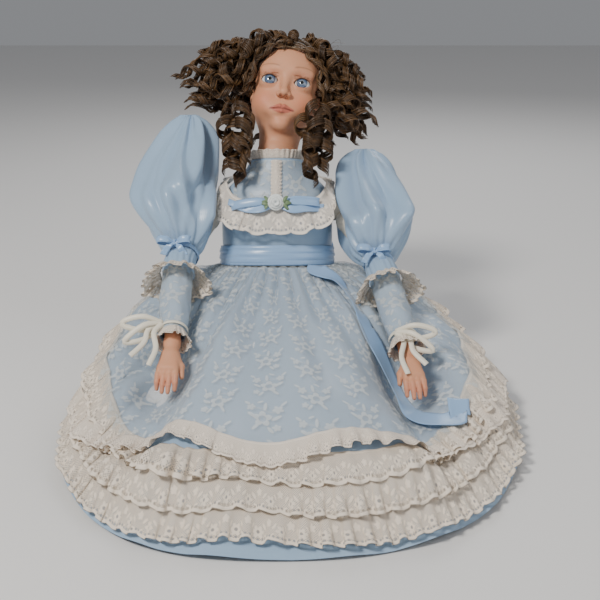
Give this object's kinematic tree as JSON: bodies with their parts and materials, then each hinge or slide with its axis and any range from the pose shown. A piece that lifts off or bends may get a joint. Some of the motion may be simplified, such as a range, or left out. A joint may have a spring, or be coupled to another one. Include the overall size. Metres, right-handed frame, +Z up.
{
  "type": "porcelain doll",
  "caption": "Seated collector's doll with bisque head and limbs, curly wig, stuffed cloth body and a lace trimmed blue satin dress, posed with its hands on its skirt.",
  "frame": {"origin": "centre of the seat's contact with the surface it sits on", "axes": "+Z up, the face looks towards -Y, the doll's right hand is on the -X side"},
  "size_m": [0.4356, 0.5201, 0.3647],
  "materials": {
    "bisque": "unglazed matte bisque, painted",
    "glass_eye": "gloss",
    "putty": "plaster",
    "pate": "plain",
    "wig_net": "net",
    "hair": "synthetic fibre curls",
    "steel": "plain",
    "wood": "plain",
    "body_cloth": "plain weave",
    "cord": "waxed",
    "button": "gloss",
    "satin_blue": "satin",
    "lace_cream": "lace",
    "lace_floral": "floral net lace",
    "ribbon_blue": "double faced satin",
    "ribbon_cream": "satin",
    "rosette_white": "satin",
    "leaf_green": "satin",
    "petticoat_net": "stiff net",
    "cotton_white": "cotton",
    "shoe_white": "satin"
  },
  "bodies": {
    "torso": {"ringlets_right": "hair", "ringlets_left": "hair", "neck_bolt": "steel", "neck_button": "wood", "neck_spring": "steel", "neck_nut": "steel", "shoulder_plate": "bisque", "torso_cloth": "body_cloth", "shoulder_cord": "cord", "shoulder_buttons": "button", "bodice": "satin_blue", "back_snaps": "steel", "bertha_collar": "lace_cream", "neck_ruffle": "lace_cream", "placket_lace": "lace_cream", "chest_bow": "ribbon_blue", "rosette": "rosette_white", "rosette_leaves": "leaf_green", "waist_sash": "ribbon_blue", "sash_back_bow": "ribbon_blue", "sash_tail_left": "ribbon_blue", "skirt": "satin_blue", "overskirt": "lace_floral", "overskirt_ruffle": "lace_cream", "hem_lace_upper": "lace_cream", "hem_lace_middle": "lace_cream", "hem_lace_lower": "lace_cream", "petticoat": "petticoat_net", "bloomer_seat": "cotton_white"},
    "head": {"head_shell": "bisque", "eye_right": "glass_eye", "eye_left": "glass_eye", "eye_putty": "putty", "crown_pate": "pate", "wig_cap": "wig_net", "wig_hair": "hair"},
    "arm_right": {"upper_arm_right": "body_cloth", "puff_sleeve_right": "satin_blue", "elbow_ribbon_right": "ribbon_blue"},
    "forearm_right": {"forearm_right": "bisque", "elbow_ruffle_right": "lace_cream", "lower_sleeve_right": "satin_blue", "wrist_lace_right": "lace_cream", "wrist_ribbon_right": "ribbon_cream"},
    "leg_right": {"thigh_right": "body_cloth", "lower_leg_right": "bisque", "bloomer_leg_right": "cotton_white", "shoe_right": "shoe_white"},
    "arm_left": {"upper_arm_left": "body_cloth", "puff_sleeve_left": "satin_blue", "elbow_ribbon_left": "ribbon_blue"},
    "forearm_left": {"forearm_left": "bisque", "elbow_ruffle_left": "lace_cream", "lower_sleeve_left": "satin_blue", "wrist_lace_left": "lace_cream", "wrist_ribbon_left": "ribbon_cream"},
    "leg_left": {"thigh_left": "body_cloth", "lower_leg_left": "bisque", "bloomer_leg_left": "cotton_white", "shoe_left": "shoe_white"}
  },
  "joints": [
    {"name": "neck_turn", "type": "hinge", "parent": "torso", "child": "head", "pos_m": [0, 0.07105, 0.23238], "axis": [0.1392, 0.4496, 0.8823], "range_deg": [-45, 45]},
    {"name": "shoulder_right", "type": "hinge", "parent": "torso", "child": "arm_right", "pos_m": [-0.065, 0.05438, 0.17787], "axis": [-1, 0, 0], "range_deg": [0, 75]},
    {"name": "elbow_right", "type": "hinge", "parent": "arm_right", "child": "forearm_right", "pos_m": [-0.099, -0.034, 0.139], "axis": [-1, 0, 0], "range_deg": [0, 60]},
    {"name": "hip_right", "type": "hinge", "parent": "torso", "child": "leg_right", "pos_m": [-0.032, -0.052, 0.027], "axis": [0, 0, 1], "range_deg": [-6, 6]},
    {"name": "shoulder_left", "type": "hinge", "parent": "torso", "child": "arm_left", "pos_m": [0.065, 0.05438, 0.17787], "axis": [-1, 0, 0], "range_deg": [0, 75]},
    {"name": "elbow_left", "type": "hinge", "parent": "arm_left", "child": "forearm_left", "pos_m": [0.11, -0.03, 0.129], "axis": [-1, 0, 0], "range_deg": [0, 60]},
    {"name": "hip_left", "type": "hinge", "parent": "torso", "child": "leg_left", "pos_m": [0.032, -0.052, 0.027], "axis": [0, 0, 1], "range_deg": [-6, 6]}
  ]
}
